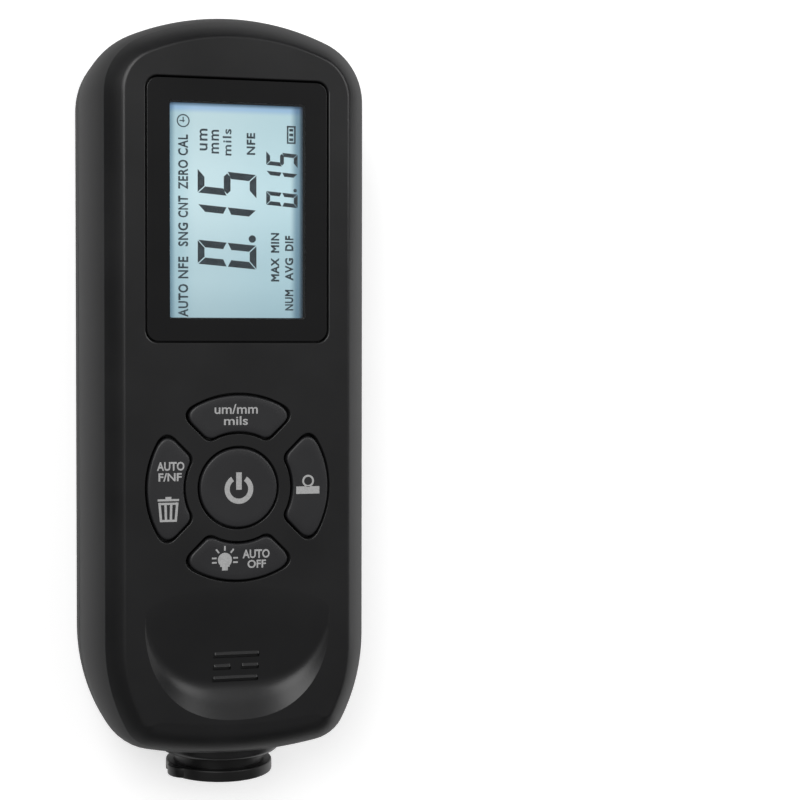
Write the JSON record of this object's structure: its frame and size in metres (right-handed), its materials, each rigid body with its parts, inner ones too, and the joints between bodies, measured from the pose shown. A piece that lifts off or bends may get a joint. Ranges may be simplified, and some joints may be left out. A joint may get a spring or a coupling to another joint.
{
  "type": "coating thickness gauge",
  "caption": "Handheld coating thickness gauge with a display window, a round keypad, a thumb dish and a spring-loaded probe at the lower end.",
  "frame": {"origin": "under the middle of the box of the gauge, on the plane of its back, which it lies on", "axes": "+Z out of the display face, +Y toward the display end, so the probe points along -Y, and +X to the right as the display face is seen"},
  "size_m": [0.0488, 0.1322, 0.027],
  "materials": {
    "housing_abs": "satin, finely textured black moulding",
    "key_abs": "satin black moulding with printed legends",
    "probe_abs": "satin black, turned look",
    "window_acrylic": "polished clear acrylic",
    "lcd_glass": "pale blue reflective display",
    "light_guide": "milky light guide",
    "white_abs": "matt white moulding",
    "silicone": "matt silicone",
    "board_laminate": "green solder mask",
    "component_epoxy": "matt black component epoxy",
    "lead_pvc": "soft sleeved lead",
    "steel": "zinc-plated steel",
    "nickel_strip": "nickel-plated strip",
    "copper_winding": "enamelled copper winding",
    "cell_wrap": "plain shrink sleeve"
  },
  "bodies": {
    "housing": {"front_shell": "housing_abs", "rear_shell": "housing_abs", "display_window": "window_acrylic", "lcd_panel": "lcd_glass", "lcd_backlight": "light_guide", "lcd_frame": "white_abs", "lcd_connector": "silicone", "power_switch": "component_epoxy", "units_switch": "component_epoxy", "mode_switch": "component_epoxy", "light_switch": "component_epoxy", "zero_switch": "component_epoxy", "circuit_board": "board_laminate", "microcontroller": "component_epoxy", "buzzer": "component_epoxy", "probe_socket": "white_abs", "probe_lead": "lead_pvc", "probe_collar": "probe_abs", "probe_spring": "steel", "battery_cell_left": "cell_wrap", "battery_cell_right": "cell_wrap", "battery_spring_left": "steel", "battery_spring_right": "steel", "contact_negative": "nickel_strip", "contact_positive": "nickel_strip", "contact_bridge": "nickel_strip", "case_screw_1": "steel", "case_screw_2": "steel", "case_screw_3": "steel", "case_screw_4": "steel"},
    "power_button": {"power_key": "key_abs", "power_switch_plunger": "white_abs"},
    "units_button": {"units_key": "key_abs", "units_switch_plunger": "white_abs"},
    "mode_button": {"mode_key": "key_abs", "mode_switch_plunger": "white_abs"},
    "light_button": {"light_key": "key_abs", "light_switch_plunger": "white_abs"},
    "zero_button": {"zero_key": "key_abs", "zero_switch_plunger": "white_abs"},
    "sensor": {"probe_head": "probe_abs", "probe_retainer": "steel", "probe_coil": "copper_winding"},
    "door": {"battery_door": "housing_abs"}
  },
  "joints": [
    {"name": "power_press", "type": "slide", "parent": "housing", "child": "power_button", "axis": [0, 0, -1], "range_m": [0, 0.0006], "stiffness_N_per_m": 1500},
    {"name": "units_press", "type": "slide", "parent": "housing", "child": "units_button", "axis": [0, 0, -1], "range_m": [0, 0.0006], "stiffness_N_per_m": 1500},
    {"name": "mode_press", "type": "slide", "parent": "housing", "child": "mode_button", "axis": [0, 0, -1], "range_m": [0, 0.0006], "stiffness_N_per_m": 1500},
    {"name": "light_press", "type": "slide", "parent": "housing", "child": "light_button", "axis": [0, 0, -1], "range_m": [0, 0.0006], "stiffness_N_per_m": 1500},
    {"name": "zero_press", "type": "slide", "parent": "housing", "child": "zero_button", "axis": [0, 0, -1], "range_m": [0, 0.0006], "stiffness_N_per_m": 1500},
    {"name": "probe_press", "type": "slide", "parent": "housing", "child": "sensor", "axis": [0, 1, 0], "range_m": [0, 0.0015], "stiffness_N_per_m": 900, "deforming": ["probe_spring"]},
    {"name": "door_tilt", "type": "hinge", "parent": "housing", "child": "door", "pos_m": [0, 0.0575, 0.0001], "axis": [1, 0, 0], "range_deg": [0, 50]}
  ]
}
